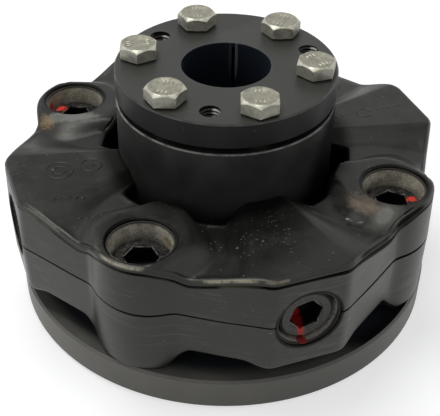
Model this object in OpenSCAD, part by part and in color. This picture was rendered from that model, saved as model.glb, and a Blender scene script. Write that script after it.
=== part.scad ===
// Flexible shaft coupling: a base flange and a clamping hub, joined by a moulded rubber ring.
// The ring is screwed to the flange along the shaft and to the hub across it, by turns.
// Origin at the centre of the flange's underside, +Z along the shaft, +X through a radial screw.

/* [Base flange] */
// Outside diameter of the flange
flange_d = 150; // [146:1:170]
// Thickness of the flange
flange_t = 12; // [10:0.5:16]
// Diameter of the locating recess in the underside
pilot_d = 63.5; // [58:0.5:72]
// Depth of the locating recess
pilot_depth = 3.2; // [2:0.1:5]
// Diameter of the hole through the middle
flange_hole_d = 48; // [40:1:54]
// Distance from the flange's rim to the middle of a fixing hole
fixing_inset = 21; // [18:0.5:24]
// Diameter of each fixing hole
fixing_hole_d = 11; // [8:0.5:12]
// Chamfer on the rim's two edges
flange_chamfer = 0.8; // [0.3:0.1:2]

/* [Rubber ring] */
// How far the flat face of a pad stands out past the flange's rim
pad_overhang = 1.4; // [0:0.2:5]
// Width of the flat face of a pad
pad_face_w = 25; // [24:0.5:30]
// Height of a pad
pad_h = 37.3; // [34:0.1:42]
// Depth of the valleys between the pads and the bosses, at the inner wall
valley_depth = 3.2; // [1.5:0.1:5]
// Depth of the valleys at the outer wall
valley_edge_depth = 4.7; // [2:0.1:6]
// Depth of the arches under the valleys, from the underside of a pad
arch_depth = 2.1; // [1:0.1:5]
// Height of the feet that stand the ring off the flange
foot_h = 6.2; // [4:0.1:9]
// Gap between the hub and the ring's bore
ring_gap = 6; // [4:0.5:7]
// Gap between the hub and the inner side of a boss
boss_gap = 3.5; // [2:0.5:5]
// Rubber over the outer side of a boss's insert
boss_cover = 1.4; // [1:0.1:2.5]
// Radius of the outer side of a boss, seen from above
boss_round = 20; // [16:1:24]
// Radius of the ring's outer edges
outer_round = 1.6; // [0.8:0.2:2.4]
// Radius of the ring's inner edges
inner_round = 1.6; // [0.8:0.2:2.4]
// Lean of the outer wall from the parting line to an edge
wall_draft = 0.4; // [0:0.1:1]
// Thickness of the rubber lip over the end of an insert
lip_t = 1; // [0.6:0.1:1.6]
// Diameter of the opening in that lip
lip_d = 21.4; // [20.6:0.1:22]

/* [Inserts] */
// Outside diameter of an insert round the screw head
insert_d = 24.4; // [23.4:0.2:26]
// Diameter of the well for the screw head
well_d = 20.4; // [19:0.2:21]
// Outside diameter of a radial insert's neck
neck_d = 17; // [16:0.2:19]
// Diameter of the hole for the screw
screw_hole_d = 13; // [12.6:0.1:14]
// Thickness of the wall under the well of a radial insert
well_floor = 4; // [3:0.5:6]

/* [Cap screws] */
// Thread diameter
screw_d = 12; // [10:1:12]
// Head diameter
screw_head_d = 18; // [16:0.5:18.4]
// Head height
screw_head_h = 12; // [10:0.5:13]
// Width of the hexagon socket across its flats
key_af = 10; // [8:0.5:11]
// Depth of the hexagon socket
key_depth = 6; // [4:0.5:7]
// Distance from the flange's rim to the middle of an axial screw
axial_inset = 13; // [12.5:0.25:15]
// How far a radial screw's head lies below the pad face
radial_recess = 2.6; // [1.5:0.1:4]
// Length of thread held by the hub
radial_grip = 11; // [8:0.5:12]
// How far an axial screw ends above the flange's underside
axial_end_gap = 1.5; // [0.5:0.1:3]

/* [Hub] */
// Diameter of the hub and of the clamp disc
hub_d = 75; // [72:0.5:78]
// Length of the hub
hub_l = 60; // [56:1:70]
// Gap between the hub and the flange
hub_lift = 2.5; // [1.5:0.5:4]
// Chamfer on the hub's and the clamp disc's edges
hub_chamfer = 0.5; // [0.3:0.1:1.5]

/* [Clamp cone] */
// Wall of the cone round the shaft, at its large end
cone_wall = 8.5; // [7.5:0.25:11]
// Length of the cone under the disc
cone_l = 57; // [48:1:58]
// Diameter that the cone loses for each millimetre of its length
cone_taper = 0.096; // [0.06:0.002:0.11]
// Metal left between the cone and the holes for the clamp bolts
cone_margin = 2; // [1:0.25:3]
// Thickness of the clamp disc
disc_t = 9; // [7:0.5:12]
// Gap left between the disc and the hub
draw_gap = 2; // [1:0.5:3]
// Width of the slits that let the cone close on the shaft
slit_w = 1.2; // [1:0.2:3]
// Thickness left whole above the slits
slit_root = 1.5; // [1:0.5:6]
// Diameter of the jacking holes, before threading
jack_hole_d = 6.8; // [5:0.1:7]

/* [Clamp bolts] */
// Distance from the clamp disc's rim to the middle of a bolt or jacking hole
clamp_inset = 7.5; // [7:0.25:8.5]
// Thread diameter
clamp_bolt_d = 8; // [6:0.5:8]
// Width of the head across its flats
clamp_head_af = 12; // [11:0.5:13]
// Height of the head
clamp_head_h = 5; // [4:0.1:6]
// Length under the head
clamp_bolt_l = 25; // [22:1:35]
// Play of a clamp bolt in the disc, on the diameter
clamp_play = 1; // [0.4:0.1:1.4]

/* [Hidden] */
$fn = 96;
eps = 0.01;
// How far a cut runs out past a rubber face
cut_past = 5;
// Play between a thread and its tapped hole, on the diameter
thread_play = 0.2;
// Spare depth of a tapped hole past the end of its screw
tap_spare = 2;

// Counts: screws of each kind, clamp bolts, jacking holes and slits
screw_count = 4;
bolt_count = 6;
jack_count = 3;
sector = 360 / screw_count;
half_sector = sector / 2;

// Heights of the ring, the hub and the cone
ring_mid = flange_t + foot_h + pad_h / 2;
ring_top = ring_mid + pad_h / 2;
pad_half = pad_h / 2;
arch_half = pad_half - arch_depth;
foot_half = pad_half + foot_h;
hub_r = hub_d / 2;
hub_base = flange_t + hub_lift;
hub_top = hub_base + hub_l;
disc_base = hub_top + draw_gap;
disc_top = disc_base + disc_t;
cone_end = disc_base - cone_l;

// Places of the screws, the pads and the cone
flange_r = flange_d / 2;
fixing_r = flange_r - fixing_inset;
pad_face = flange_r + pad_overhang;
axial_r = flange_r - axial_inset;
axial_seat = ring_mid;
axial_screw_l = axial_seat - axial_end_gap;
radial_seat = pad_face - radial_recess - screw_head_h;
radial_screw_l = radial_seat - hub_r + radial_grip;
clamp_r = hub_r - clamp_inset;
clamp_tap_depth = clamp_bolt_l - disc_t - draw_gap + tap_spare;
cone_top_d = 2 * (clamp_r - cone_margin) - clamp_bolt_d - clamp_play;
cone_end_d = cone_top_d - cone_taper * cone_l;
shaft_r = cone_top_d / 2 - cone_wall;

// Turn of each hexagon about its own axis, as left by the spanner
axial_turns = [12, 24, 54, 0];
radial_turns = [20, 8, 35, 42];
bolt_turns = [44, 40, 10, 40, 10, 57];

// Angles of the ring, counted from the middle of a pad towards the middle of a boss.
// A pad is level up to its fold and slopes to its foot; a boss does the same the other way.
// Each pair is the angle at the inner wall, then the angle at the outer wall.
pad_fold = [9, 11];
pad_foot = [16, 29];
arch_fold = 10;
arch_foot = 16;
nose_edge = 14.5;
nose_foot = 20.5;
// Half the width of a boss's level top at the walls, and how much it swells round the well between them
boss_level = 4.5;
boss_swell = 8.4;
boss_slope = [8.5, 12];
stilt_foot = half_sector - 16.5;
stilt_fold = half_sector - 8;
inner_foot = half_sector - 15;
inner_fold = half_sector - 6;

// Plan of the ring: flat pad faces, straight sides that lean to the bosses, round bosses
side_turn = 33;
side_dist = pad_face * cos(side_turn) + pad_face_w / 2 * sin(side_turn);
boss_out = axial_r + insert_d / 2 + boss_cover;
boss_centre = boss_out - boss_round;
// Lengths over which the straight and round parts of the plan blend
pad_blend = 1.2;
boss_blend = 1.5;
// How far the pads' noses reach into the hub before they are cut to its curve
nose_cut = 1;
// Facets in each rounded edge and across the top, and steps between the named angles
round_steps = 3;
top_steps = 5;
pad_steps = 4;
slope_steps = 4;
valley_steps = 5;
boss_steps = 8;

bolt_names = [for (i = [1:bolt_count]) str("clamp_bolt_", i)];
function named(base) = [for (i = [1:screw_count]) str(base, "_", i)];

// Share of the way from low to high, from 0 to 1, then the same eased at both ends
function share(x, low, high) = min(max((x - low) / (high - low), 0), 1);
function ramp(x, low, high) = let (t = share(x, low, high)) t * t * (3 - 2 * t);
// The lesser or greater of two lengths, blended over the length k where they cross
function soften(a, b, k) = pow(max(k - abs(a - b), 0), 2) / (4 * k);
function soft_min(a, b, k) = min(a, b) - soften(a, b, k);
function soft_max(a, b, k) = max(a, b) + soften(a, b, k);

// Angle from the nearest pad's middle, from 0 to half a sector
function from_pad(a) = abs((a + half_sector) % sector - half_sector);

// Radius of the ring's outer wall at the angle u from a pad's middle
function pad_plan(u) = pad_face / cos(u);
function side_plan(u) = side_dist / cos(u - side_turn);
function boss_plan(u) =
    let (v = half_sector - u, across = boss_centre * sin(v))
    across < boss_round ? boss_centre * cos(v) + sqrt(pow(boss_round, 2) - pow(across, 2)) : 0;
function outer_r(u) = soft_min(pad_plan(u), soft_max(side_plan(u), boss_plan(u), boss_blend), pad_blend);

// Radius of the ring's inner wall: noses on the hub, a clear bore, bosses that stand in a little
function inner_r(u) =
    let (nose = 1 - ramp(u, nose_edge, nose_foot), boss = ramp(u, inner_foot, inner_fold))
    hub_r + ring_gap - (ring_gap + nose_cut) * nose - (ring_gap - boss_gap) * boss;

// Heights of the ring above and below its parting line, at the share s of the way
// from its inner wall to its outer wall
function mix(pair, s) = pair[0] + (pair[1] - pair[0]) * s;
function pad_fall(u, s) =
    let (fold = mix(pad_fold, s), foot = mix(pad_foot, s))
    (share(u, fold, foot) + ramp(u, fold, foot)) / 2;
function boss_fall(u, s) =
    let (fold = half_sector - boss_level - boss_swell * sin(180 * s))
    1 - ramp(u, fold - mix(boss_slope, s), fold);
function upper_h(u, s) =
    pad_half - mix([valley_depth, valley_edge_depth], s) * min(pad_fall(u, s), boss_fall(u, s));
function lower_h(u) =
    let (arch = ramp(u, arch_fold, arch_foot), stilt = ramp(u, stilt_foot, stilt_fold))
    pad_half - arch_depth * arch + (foot_half - arch_half) * stilt;

// A rounded corner about [r, z], from the angle a, a quarter turn on
function corner(r, z, round, a) =
    [for (k = [0:round_steps]) let (t = a + 90 * k / round_steps) [r + round * cos(t), z + round * sin(t)]];

// Section of the ring at the angle u, once round from the parting line
function section(u) =
    let (
        out = outer_r(u),
        wall = out - wall_draft,
        bore = inner_r(u),
        down = lower_h(u)
    )
    concat(
        [[out, 0]],
        corner(wall - outer_round, upper_h(u, 1) - outer_round, outer_round, 0),
        [for (k = [top_steps - 1:-1:1]) let (s = k / top_steps) [mix([bore, wall], s), upper_h(u, s)]],
        corner(bore + inner_round, upper_h(u, 0) - inner_round, inner_round, 90),
        [[bore, 0]],
        corner(bore + inner_round, inner_round - down, inner_round, 180),
        corner(wall - outer_round, outer_round - down, outer_round, 270)
    );

// Angles at which the ring is given a section: half a sector, its mirror image, then every sector
function span(low, high, steps) = [for (k = [0:steps - 1]) low + (high - low) * k / steps];
half_angles = concat(
    span(0, arch_fold, pad_steps),
    span(arch_fold, arch_foot, slope_steps),
    span(arch_foot, pad_foot[1], valley_steps),
    span(pad_foot[1], half_sector, boss_steps)
);
last_half = len(half_angles) - 1;
sector_angles = concat(
    half_angles,
    [half_sector],
    [for (k = [last_half:-1:1]) sector - half_angles[k]]
);
ring_angles = [for (i = [0:screw_count - 1], a = sector_angles) i * sector + a];

// The ring without its holes, as one skin over its sections
module ring_body() {
    rows = len(ring_angles);
    loop = len(section(0));
    points = [
        for (a = ring_angles, p = section(from_pad(a)))
            [p[0] * cos(a), p[0] * sin(a), ring_mid + p[1]]
    ];
    function at(i, j) = (i % rows) * loop + j % loop;
    faces = [
        for (i = [0:rows - 1], j = [0:loop - 1], half = [0, 1])
            half == 0
                ? [at(i, j), at(i, j + 1), at(i + 1, j + 1)]
                : [at(i, j), at(i + 1, j + 1), at(i + 1, j)]
    ];
    polyhedron(points, faces, convexity = 8);
}

// Placing of the screws and inserts: along the shaft in a boss, or across it in a pad
module at_boss(i) {
    rotate((i - 0.5) * sector)
        translate([axial_r, 0, 0])
            children();
}

module at_pad(i) {
    rotate((i - 1) * sector)
        translate([0, 0, ring_mid])
            rotate([0, 90, 0])
                children();
}

// A cylinder between two heights
module rod(d, low, high) {
    translate([0, 0, low])
        cylinder(d = d, h = high - low);
}

// A hexagon prism between two heights, by its width across the flats
module hexagon(af, low, high) {
    translate([0, 0, low])
        cylinder(d = af / cos(30), h = high - low, $fn = 6);
}

// A round bar with chamfered ends, as a profile to turn
module turned_bar(d, low, high, chamfer) {
    r = d / 2;
    rotate_extrude()
        polygon([
            [0, low],
            [r - chamfer, low],
            [r, low + chamfer],
            [r, high - chamfer],
            [r - chamfer, high],
            [0, high]
        ]);
}

// A socket head cap screw, head seated at z = 0 and shank below
module cap_screw(shank, turn) {
    head_chamfer = 0.8;
    tip_chamfer = 1.2;
    key_chamfer = 0.4;
    key_mouth = 0.1;
    mouth_r = key_af / cos(30) / 2 + key_mouth;
    difference() {
        union() {
            turned_bar(screw_head_d, 0, screw_head_h, head_chamfer);
            turned_bar(screw_d, -shank, tip_chamfer + eps, tip_chamfer);
        }
        rotate(turn)
            hexagon(key_af, screw_head_h - key_depth, screw_head_h + eps);
        translate([0, 0, screw_head_h - key_chamfer])
            cylinder(r1 = mouth_r - key_chamfer, r2 = mouth_r + key_chamfer, h = 2 * key_chamfer);
    }
}

// A hexagon bolt, head seated at z = 0 and shank below
module hex_bolt(turn) {
    washer_t = 0.4;
    washer_inset = 0.65;
    crown_inset = 0.5;
    crown_lean = 36;
    tip_chamfer = 0.8;
    crown_r = clamp_head_af / 2 - crown_inset;
    blank_r = clamp_head_af / cos(30) / 2 + crown_inset;
    crown_drop = (blank_r - crown_r) * tan(crown_lean);
    rod(clamp_head_af - 2 * washer_inset, 0, washer_t + eps);
    turned_bar(clamp_bolt_d, -clamp_bolt_l, tip_chamfer + eps, tip_chamfer);
    intersection() {
        rotate(turn)
            hexagon(clamp_head_af, washer_t, clamp_head_h);
        rotate_extrude()
            polygon([
                [0, 0],
                [blank_r, 0],
                [blank_r, clamp_head_h - crown_drop],
                [crown_r, clamp_head_h],
                [0, clamp_head_h]
            ]);
    }
}

module base_flange() {
    color("#4b4a45")
        difference() {
            turned_bar(flange_d, 0, flange_t, flange_chamfer);
            rod(flange_hole_d, -eps, flange_t + eps);
            rod(pilot_d, -eps, pilot_depth);
            for (i = [1:screw_count]) {
                at_boss(i)
                    rod(screw_d + thread_play, -eps, flange_t + eps);
                rotate((i - 1) * sector)
                    translate([fixing_r, 0, 0])
                        rod(fixing_hole_d, -eps, flange_t + eps);
            }
        }
}

module rubber_ring() {
    insert_end = pad_face - lip_t;
    color("#2b2b29")
        difference() {
            ring_body();
            rod(hub_d, 0, ring_top + cut_past);
            for (i = [1:screw_count]) {
                at_boss(i) {
                    rod(insert_d, flange_t - eps, ring_top - lip_t);
                    rod(lip_d, ring_mid, ring_top + cut_past);
                }
                at_pad(i) {
                    rod(neck_d, 0, radial_seat);
                    rod(insert_d, radial_seat - well_floor, insert_end);
                    rod(lip_d, radial_seat, pad_face + cut_past);
                }
            }
        }
}

module axial_insert(i) {
    insert_end = ring_top - lip_t;
    color("#7d7868")
        at_boss(i)
            difference() {
                rod(insert_d, flange_t, insert_end);
                rod(screw_hole_d, flange_t - eps, axial_seat + eps);
                rod(well_d, axial_seat, insert_end + eps);
            }
}

module radial_insert(i) {
    insert_end = pad_face - lip_t;
    color("#6d6a60")
        difference() {
            at_pad(i)
                difference() {
                    union() {
                        rod(neck_d, hub_r / 2, radial_seat);
                        rod(insert_d, radial_seat - well_floor, insert_end);
                    }
                    rod(screw_hole_d, 0, radial_seat + eps);
                    rod(well_d, radial_seat, insert_end + eps);
                }
            rod(hub_d, 0, hub_top);
        }
}

module axial_screw(i) {
    color("#4a4842")
        at_boss(i)
            translate([0, 0, axial_seat])
                cap_screw(axial_screw_l, axial_turns[i - 1]);
}

module radial_screw(i) {
    color("#55534d")
        at_pad(i)
            translate([0, 0, radial_seat])
                cap_screw(radial_screw_l, radial_turns[i - 1]);
}

// Radius of the taper shared by the cone and the hub's bore
function taper_r(z) = (cone_end_d + (cone_top_d - cone_end_d) * (z - cone_end) / cone_l) / 2;

module hub() {
    tap_end = hub_r - radial_grip - tap_spare;
    color("#333331")
        difference() {
            rotate_extrude()
                polygon([
                    [taper_r(hub_base), hub_base],
                    [hub_r - hub_chamfer, hub_base],
                    [hub_r, hub_base + hub_chamfer],
                    [hub_r, hub_top - hub_chamfer],
                    [hub_r - hub_chamfer, hub_top],
                    [taper_r(hub_top), hub_top]
                ]);
            for (i = [1:screw_count])
                at_pad(i)
                    rod(screw_d + thread_play, tap_end, hub_r + eps);
            for (i = [1:bolt_count])
                rotate((i - 0.5) * 360 / bolt_count)
                    translate([clamp_r, 0, 0])
                        rod(clamp_bolt_d + thread_play, hub_top - clamp_tap_depth, hub_top + eps);
        }
}

module clamp_cone() {
    bore_chamfer = 0.3;
    slit_l = disc_top - slit_root - cone_end;
    slit_reach = cone_top_d / 2 + slit_w;
    color("#3b3a35")
        difference() {
            rotate_extrude()
                polygon([
                    [shaft_r, cone_end],
                    [cone_end_d / 2, cone_end],
                    [cone_top_d / 2, disc_base],
                    [hub_r - hub_chamfer, disc_base],
                    [hub_r, disc_base + hub_chamfer],
                    [hub_r, disc_top - hub_chamfer],
                    [hub_r - hub_chamfer, disc_top],
                    [shaft_r + bore_chamfer, disc_top],
                    [shaft_r, disc_top - bore_chamfer]
                ]);
            for (i = [1:bolt_count])
                rotate((i - 0.5) * 360 / bolt_count)
                    translate([clamp_r, 0, 0])
                        rod(clamp_bolt_d + clamp_play, disc_base - eps, disc_top + eps);
            for (i = [1:jack_count])
                rotate((i - 1) * 360 / jack_count)
                    translate([clamp_r, 0, 0])
                        rod(jack_hole_d, disc_base - eps, disc_top + eps);
            for (i = [1:jack_count])
                rotate((i - 0.5) * 360 / jack_count)
                    translate([0, -slit_w / 2, cone_end - eps])
                        cube([slit_reach, slit_w, slit_l]);
        }
}

module clamp_bolt(i) {
    color("#a39f90")
        rotate((i - 0.5) * 360 / bolt_count)
            translate([clamp_r, 0, disc_top])
                rotate((0.5 - i) * 360 / bolt_count)
                    hex_bolt(bolt_turns[i - 1]);
}

base_flange();
rubber_ring();
hub();
clamp_cone();
for (i = [1:screw_count]) {
    axial_insert(i);
    radial_insert(i);
    axial_screw(i);
    radial_screw(i);
}
for (i = [1:bolt_count]) {
    clamp_bolt(i);
}
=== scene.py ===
import math

import bmesh
import bpy
from mathutils import Matrix, Vector

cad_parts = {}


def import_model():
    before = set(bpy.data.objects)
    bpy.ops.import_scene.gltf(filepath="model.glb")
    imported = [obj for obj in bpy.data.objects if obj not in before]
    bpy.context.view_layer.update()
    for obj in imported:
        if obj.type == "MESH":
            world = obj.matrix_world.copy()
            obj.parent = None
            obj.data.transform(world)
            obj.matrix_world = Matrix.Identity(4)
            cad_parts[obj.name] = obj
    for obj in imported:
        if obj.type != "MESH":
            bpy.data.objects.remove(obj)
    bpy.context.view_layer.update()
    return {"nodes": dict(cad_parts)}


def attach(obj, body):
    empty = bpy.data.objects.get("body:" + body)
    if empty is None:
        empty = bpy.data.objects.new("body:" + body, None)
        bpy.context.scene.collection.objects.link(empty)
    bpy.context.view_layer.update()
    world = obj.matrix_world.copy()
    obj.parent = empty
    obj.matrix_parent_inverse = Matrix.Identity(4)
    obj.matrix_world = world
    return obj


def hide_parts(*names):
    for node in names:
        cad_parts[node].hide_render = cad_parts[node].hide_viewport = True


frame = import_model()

MM = 0.001

# Sizes of the coupling in millimetres, the same as in the solids
FLANGE_R, FLANGE_T = 75.0, 12.0
HUB_R, HUB_TOP = 37.5, 74.5
DISC_BASE, DISC_TOP, BORE_R = 76.5, 85.5, 15.0
RING_MID, RING_TOP = 36.85, 55.5
AXIAL_R, PAD_FACE, RADIAL_SEAT = 62.0, 76.4, 61.8
HEAD_H, KEY_HALF, WELL_FLOOR = 12.0, 5.0, 4.0
INSERT_R, NECK_R, LIP_R, LIP_T = 12.2, 8.5, 10.7, 1.0
CLAMP_R, CLAMP_HEAD_AF, CLAMP_HEAD_H = 30.0, 12.0, 5.0
CLAMP_BOLT_R, CLAMP_BOLT_L = 4.0, 25.0
JACK_R, JACK_PITCH = 3.4, 1.25

# How far each screw and bolt head, and the dashes on each bolt head, are turned, in degrees
AXIAL_TURNS, RADIAL_TURNS = (12, 24, 54, 0), (20, 8, 35, 42)
BOLT_TURNS, BOLT_MARK_TURNS = (44, 40, 10, 40, 10, 57), (0, 35, -20, 15, 60, 50)

# The camera in metres, its roll in degrees and its lens in millimetres
CAMERA_PLACE, CAMERA_TARGET = (-0.10051, -0.26482, 0.24555), (-0.001314, 0.000491, 0.024396)
CAMERA_ROLL, CAMERA_LENS, SENSOR_WIDTH = 0.808, 78.76, 36.0


# Small helpers for numbers and meshes

def cosd(a):
    return math.cos(math.radians(a))


def sind(a):
    return math.sin(math.radians(a))


def share(x, low, high):
    """How far x is from low to high, from 0 to 1."""
    return min(max((x - low) / (high - low), 0), 1)


def ramp(x, low, high):
    """A smooth step from 0 at low to 1 at high."""
    t = share(x, low, high)
    return t * t * (3 - 2 * t)


def mix(pair, s):
    return pair[0] + (pair[1] - pair[0]) * s


def add_piece(name, verts, faces, slot, material, smooth=35):
    """A mesh piece in millimetres that rides on the part; edges sharper than smooth degrees stay crisp."""
    mesh = bpy.data.meshes.new(name)
    mesh.from_pydata([[c * MM for c in v] for v in verts], [], faces)
    obj = bpy.data.objects.new(name, mesh)
    bpy.context.scene.collection.objects.link(obj)
    finish_mesh(mesh, smooth)
    mesh.materials.append(material)
    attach(obj, "root")
    return obj


def finish_mesh(mesh, smooth):
    """Outward normals, smooth shading, and sharp edges by angle."""
    bm = bmesh.new()
    bm.from_mesh(mesh)
    bmesh.ops.remove_doubles(bm, verts=bm.verts, dist=1e-6)
    bmesh.ops.recalc_face_normals(bm, faces=bm.faces)
    for face in bm.faces:
        face.smooth = True
    for edge in bm.edges:
        edge.smooth = len(edge.link_faces) == 2 and edge.calc_face_angle(0) < math.radians(smooth)
    bm.to_mesh(mesh)
    bm.free()


def band(here, there, count):
    """Faces between two closed rows of count points, by the index of each row's first point."""
    return [(here + j, here + (j + 1) % count, there + (j + 1) % count, there + j) for j in range(count)]


def revolve(profile, steps=96):
    """A closed solid about z, from (r, z) points from axis to axis, or from a function of the angle."""
    at = profile if callable(profile) else lambda angle: profile
    first = at(0)
    verts = [(0, 0, first[0][1]), (0, 0, first[-1][1])]
    for k in range(steps):
        a = 2 * math.pi * k / steps
        verts += [(r * math.cos(a), r * math.sin(a), z) for r, z in at(360 * k / steps)[1:-1]]
    count = len(first) - 2
    faces = []
    for k in range(steps):
        here, there = 2 + k * count, 2 + (k + 1) % steps * count
        faces.append((0, there, here))
        faces.append((1, here + count - 1, there + count - 1))
        faces += [(here + j, there + j, there + j + 1, here + j + 1) for j in range(count - 1)]
    return verts, faces


def placed(verts, turn, shift, lay=False):
    """Vertices laid along +X where asked, shifted, then turned about z by degrees."""
    c, s = cosd(turn), sind(turn)
    result = []
    for x, y, z in verts:
        if lay:
            x, y, z = z, y, -x
        x, y, z = x + shift[0], y + shift[1], z + shift[2]
        result.append((x * c - y * s, x * s + y * c, z))
    return result


def cut(target, verts, faces, name):
    """Cut a closed mesh in millimetres out of a piece."""
    mesh = bpy.data.meshes.new(name)
    mesh.from_pydata([[c * MM for c in v] for v in verts], [], faces)
    finish_mesh(mesh, 30)
    cutter = bpy.data.objects.new(name, mesh)
    bpy.context.scene.collection.objects.link(cutter)
    modifier = target.modifiers.new(name, "BOOLEAN")
    modifier.operation = "DIFFERENCE"
    modifier.solver = "EXACT"
    modifier.object = cutter
    bpy.context.view_layer.update()
    shape = bpy.data.meshes.new_from_object(target.evaluated_get(bpy.context.evaluated_depsgraph_get()))
    target.modifiers.clear()
    target.data = shape
    bpy.data.objects.remove(cutter)


# The rubber ring: the plan and sections of the solid in finer steps, with a seam, a bead and rounded lips

# Angles in degrees from the middle of a pad, where pairs are at the hub and at the outer wall
HALF = 45.0
PAD_FOLD, PAD_FOOT, RIGHT_PAD_FOOT = (9.0, 11.0), (16.0, 29.0), (16.0, 21.0)
ARCH_FOLD, ARCH_FOOT = 10.0, 16.0
NOSE_EDGE, NOSE_FOOT = 14.5, 20.5
BOSS_LEVEL, BOSS_SWELL, BOSS_SLOPE = 4.5, 8.4, (8.5, 12.0)
STILT_FOOT, STILT_FOLD = HALF - 16.5, HALF - 8
INNER_FOOT, INNER_FOLD = HALF - 15, HALF - 6
SIDE_TURN = 33.0

# Lengths in millimetres, with heights from the ring's middle
PAD_FACE_W, PAD_HALF, VALLEY_DEPTH = 25.0, 18.65, (3.2, 4.7)
ARCH_DEPTH, FOOT_H = 2.1, 6.2
RING_GAP, BOSS_GAP, NOSE_CUT = 6.0, 3.5, 1.0
BOSS_ROUND, BOSS_COVER, EDGE_ROUND, DRAFT = 20.0, 1.4, 1.6, 0.4
PAD_BLEND, BOSS_BLEND = 1.2, 1.5
OUTER_INSET = 0.045

# The seam and the groove below the bead: their usual sizes, and what is added at the right front
SEAM_DEPTH, SEAM_HALF, SEAM_FLOOR_HALF = (0.55, 0.5), (0.34, 0.16), (0.16, 0.2)
SEAM_MOST_OPEN, SEAM_REACH = 305, 50
GROOVE_DEPTH, GROOVE_BELOW, GROOVE_FLOOR, GROOVE_ABOVE = (0.75, 0.4), (1.2, 1.0), (0.8, 0.9), 0.1
GROOVE_MOST_OPEN, GROOVE_REACH = 293, 24


def soften(a, b, k):
    """What rounds the corner where a and b cross, within k of each other."""
    return max(k - abs(a - b), 0) ** 2 / (4 * k)


def swell(angle, centre, reach):
    """1 at an angle, falling smoothly to 0 at a reach to either side."""
    return 1 - ramp(abs((angle - centre + 180) % 360 - 180), 0, reach)


def waves(angle, *terms):
    """A sum of sines round the ring, each as (height, count, phase)."""
    return sum(height * sind(count * angle + phase) for height, count, phase in terms)


def from_pad(angle):
    """Degrees from the middle of the nearest pad."""
    return abs((angle + HALF) % 90 - HALF)


def outer_r(u):
    """Radius of the outer wall: flat pad faces, straight leaning sides and round bosses."""
    pad = PAD_FACE / cosd(u)
    side = (PAD_FACE * cosd(SIDE_TURN) + PAD_FACE_W / 2 * sind(SIDE_TURN)) / cosd(u - SIDE_TURN)
    centre = AXIAL_R + INSERT_R + BOSS_COVER - BOSS_ROUND
    across = centre * sind(HALF - u)
    boss = centre * cosd(HALF - u) + math.sqrt(BOSS_ROUND**2 - across**2) if across < BOSS_ROUND else 0
    wide = max(side, boss) + soften(side, boss, BOSS_BLEND)
    return min(pad, wide) - soften(pad, wide, PAD_BLEND)


def inner_r(u):
    """Radius of the inner wall: noses that reach the hub behind the pads, and bosses that come near it."""
    nose = 1 - ramp(u, NOSE_EDGE, NOSE_FOOT)
    boss = ramp(u, INNER_FOOT, INNER_FOLD)
    return HUB_R + RING_GAP - (RING_GAP + NOSE_CUT) * nose - (RING_GAP - BOSS_GAP) * boss


def upper_h(u, s, pad_foot=PAD_FOOT):
    """Height of the top at a share s of the way out: level pads and bosses with valleys between."""
    fold, foot = mix(PAD_FOLD, s), mix(pad_foot, s)
    pad_fall = (share(u, fold, foot) + ramp(u, fold, foot)) / 2
    level = HALF - BOSS_LEVEL - BOSS_SWELL * sind(180 * s)
    boss_fall = 1 - ramp(u, level - mix(BOSS_SLOPE, s), level)
    return PAD_HALF - mix(VALLEY_DEPTH, s) * min(pad_fall, boss_fall)


def lower_h(u):
    """Depth of the underside: arches below the valleys and feet below the bosses."""
    arch, stilt = ramp(u, ARCH_FOLD, ARCH_FOOT), ramp(u, STILT_FOOT, STILT_FOLD)
    return PAD_HALF - ARCH_DEPTH * arch + (FOOT_H + ARCH_DEPTH) * stilt


def ring_top(x, y):
    """Height of the ring's top at a place in plan."""
    u = from_pad(math.degrees(math.atan2(y, x)))
    return RING_MID + upper_h(u, share(math.hypot(x, y), inner_r(u), outer_r(u) - DRAFT))


def corner(r, z, a, steps):
    """A rounded edge of the section, a quarter turn from an angle."""
    return [(r + EDGE_ROUND * cosd(a + 90 * k / steps), z + EDGE_ROUND * sind(a + 90 * k / steps))
            for k in range(steps + 1)]


def line(a, b, steps):
    """Points strictly between a and b."""
    return [(mix((a[0], b[0]), k / steps), mix((a[1], b[1]), k / steps)) for k in range(1, steps)]


def seam_points(angle, out):
    """Across the parting seam in the outer wall, from above to below."""
    middle = waves(angle, (0.2, 7, 20), (0.14, 17, 0))
    open_here = swell(angle, SEAM_MOST_OPEN, SEAM_REACH)
    deep = out - (SEAM_DEPTH[0] + waves(angle, (0.2, 11, 50)) + SEAM_DEPTH[1] * open_here)
    half = SEAM_HALF[0] + waves(angle, (0.08, 5, 80)) + SEAM_HALF[1] * open_here
    floor = SEAM_FLOOR_HALF[0] + SEAM_FLOOR_HALF[1] * open_here
    return [(out, middle + half), (deep, middle + floor), (deep, middle - floor), (out, middle - half)]


def groove_points(angle, wall, brim):
    """Across the groove below the bead, from below to above."""
    open_here = swell(angle, GROOVE_MOST_OPEN, GROOVE_REACH)
    deep = wall - (GROOVE_DEPTH[0] + waves(angle, (0.3, 2, -105), (0.1, 13, 0)) + GROOVE_DEPTH[1] * open_here)
    below = brim - GROOVE_BELOW[0] - GROOVE_BELOW[1] * open_here
    floor = brim - GROOVE_FLOOR[0] - GROOVE_FLOOR[1] * open_here
    return [(wall + 0.02, below), (deep, floor), (deep, brim - GROOVE_ABOVE)]


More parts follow.
